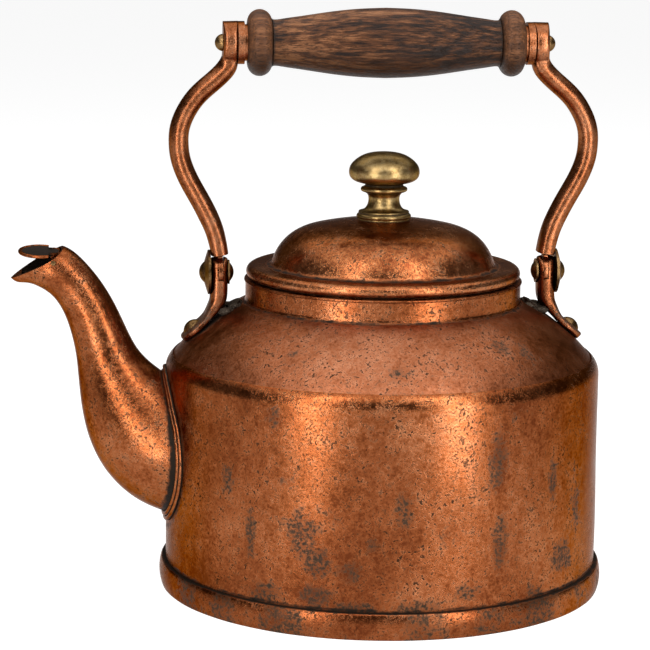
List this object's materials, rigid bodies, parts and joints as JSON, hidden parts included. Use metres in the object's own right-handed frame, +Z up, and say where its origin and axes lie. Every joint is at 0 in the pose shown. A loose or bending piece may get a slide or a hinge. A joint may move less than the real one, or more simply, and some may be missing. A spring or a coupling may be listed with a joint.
{
  "type": "tea kettle",
  "caption": "Round copper tea kettle with a curved spout and hinged spout flap, a lift-off domed lid with a turned knob, and a swinging handle with a wooden grip.",
  "frame": {"origin": "on the body's vertical axis at the underside of the base", "axes": "+Z up along the body's axis, the spout points to -X, the handle's pivots lie along X, +Y away from the side seen in the picture"},
  "size_m": [0.265, 0.2, 0.2576],
  "materials": {
    "copper": null,
    "polished_copper": "drawn copper bar rubbed brighter by handling",
    "rivet_brass": "dark aged brass rivets and washers",
    "aged_brass": "turned olive-gold brass with brown tarnish",
    "dark_wood": "turned dark hardwood, waxed, satin"
  },
  "bodies": {
    "vessel": {"base_plate": "copper", "base_ring": "copper", "body_wall": "copper", "shoulder": "copper", "collar": "copper", "spout": "copper", "spout_root_ring": "copper", "flap_pin": "rivet_brass", "left_ear": "polished_copper", "left_stay": "polished_copper", "left_rose_washer": "rivet_brass", "left_inner_washer": "rivet_brass", "left_pivot_rivet": "rivet_brass", "left_foot_rivet": "rivet_brass", "right_ear": "polished_copper", "right_stay": "polished_copper", "right_rose_washer": "rivet_brass", "right_inner_washer": "rivet_brass", "right_pivot_rivet": "rivet_brass", "right_foot_rivet": "rivet_brass"},
    "lid": {"lid_shell": "copper", "lid_skirt": "copper", "knob": "aged_brass", "knob_washer": "aged_brass"},
    "handle": {"left_arm": "polished_copper", "right_arm": "polished_copper", "left_ferrule": "polished_copper", "right_ferrule": "polished_copper", "tie_rod": "rivet_brass"},
    "handle_grip": {"grip": "dark_wood"},
    "flap": {"spout_flap": "copper"}
  },
  "joints": [
    {"name": "lid_lift", "type": "slide", "parent": "vessel", "child": "lid", "axis": [0, 0, 1], "range_m": [0, 0.03]},
    {"name": "handle_swing", "type": "hinge", "parent": "vessel", "child": "handle", "pos_m": [0, 0, 0.1408], "axis": [1, 0, 0], "range_deg": [-92, 92]},
    {"name": "grip_spin", "type": "hinge", "parent": "handle", "child": "handle_grip", "pos_m": [0, 0, 0.2422], "axis": [1, 0, 0], "continuous": true},
    {"name": "flap_swing", "type": "hinge", "parent": "vessel", "child": "flap", "pos_m": [-0.1462, 0.00018, 0.14801], "axis": [0, 0.9925, 0.1219], "range_deg": [-30, 45]}
  ]
}
